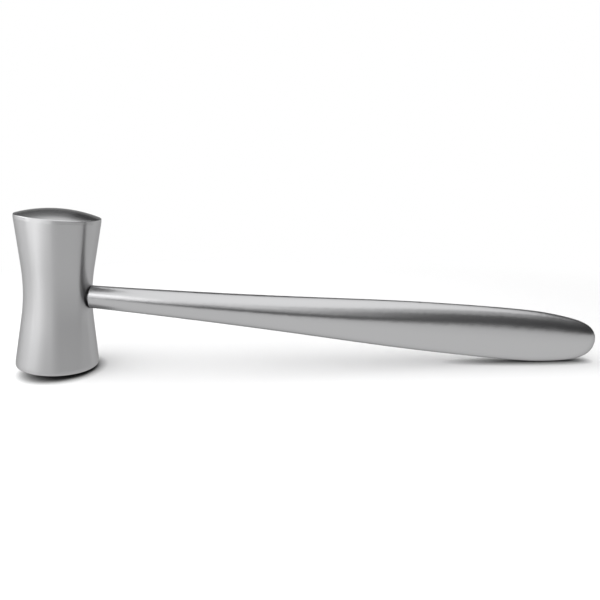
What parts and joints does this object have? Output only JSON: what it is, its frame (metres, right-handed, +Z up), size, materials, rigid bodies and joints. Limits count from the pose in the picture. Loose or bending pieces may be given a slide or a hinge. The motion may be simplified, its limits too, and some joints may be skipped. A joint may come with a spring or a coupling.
{
  "type": "surgical mallet",
  "caption": "Small solid steel mallet with a waisted, round head, domed striking faces and a slim handle that widens into a flat, rounded grip, for tapping osteotomes and chisels.",
  "frame": {"origin": "on the table, under the middle of the whole mallet at rest", "axes": "+X from the head towards the tip of the grip, +Y across the flat grip, +Z up from the table"},
  "size_m": [0.1913, 0.0244, 0.0516],
  "materials": {
    "head_steel": "satin",
    "handle_steel": "satin"
  },
  "bodies": {
    "root": {"head": "head_steel", "handle": "handle_steel"}
  },
  "joints": []
}
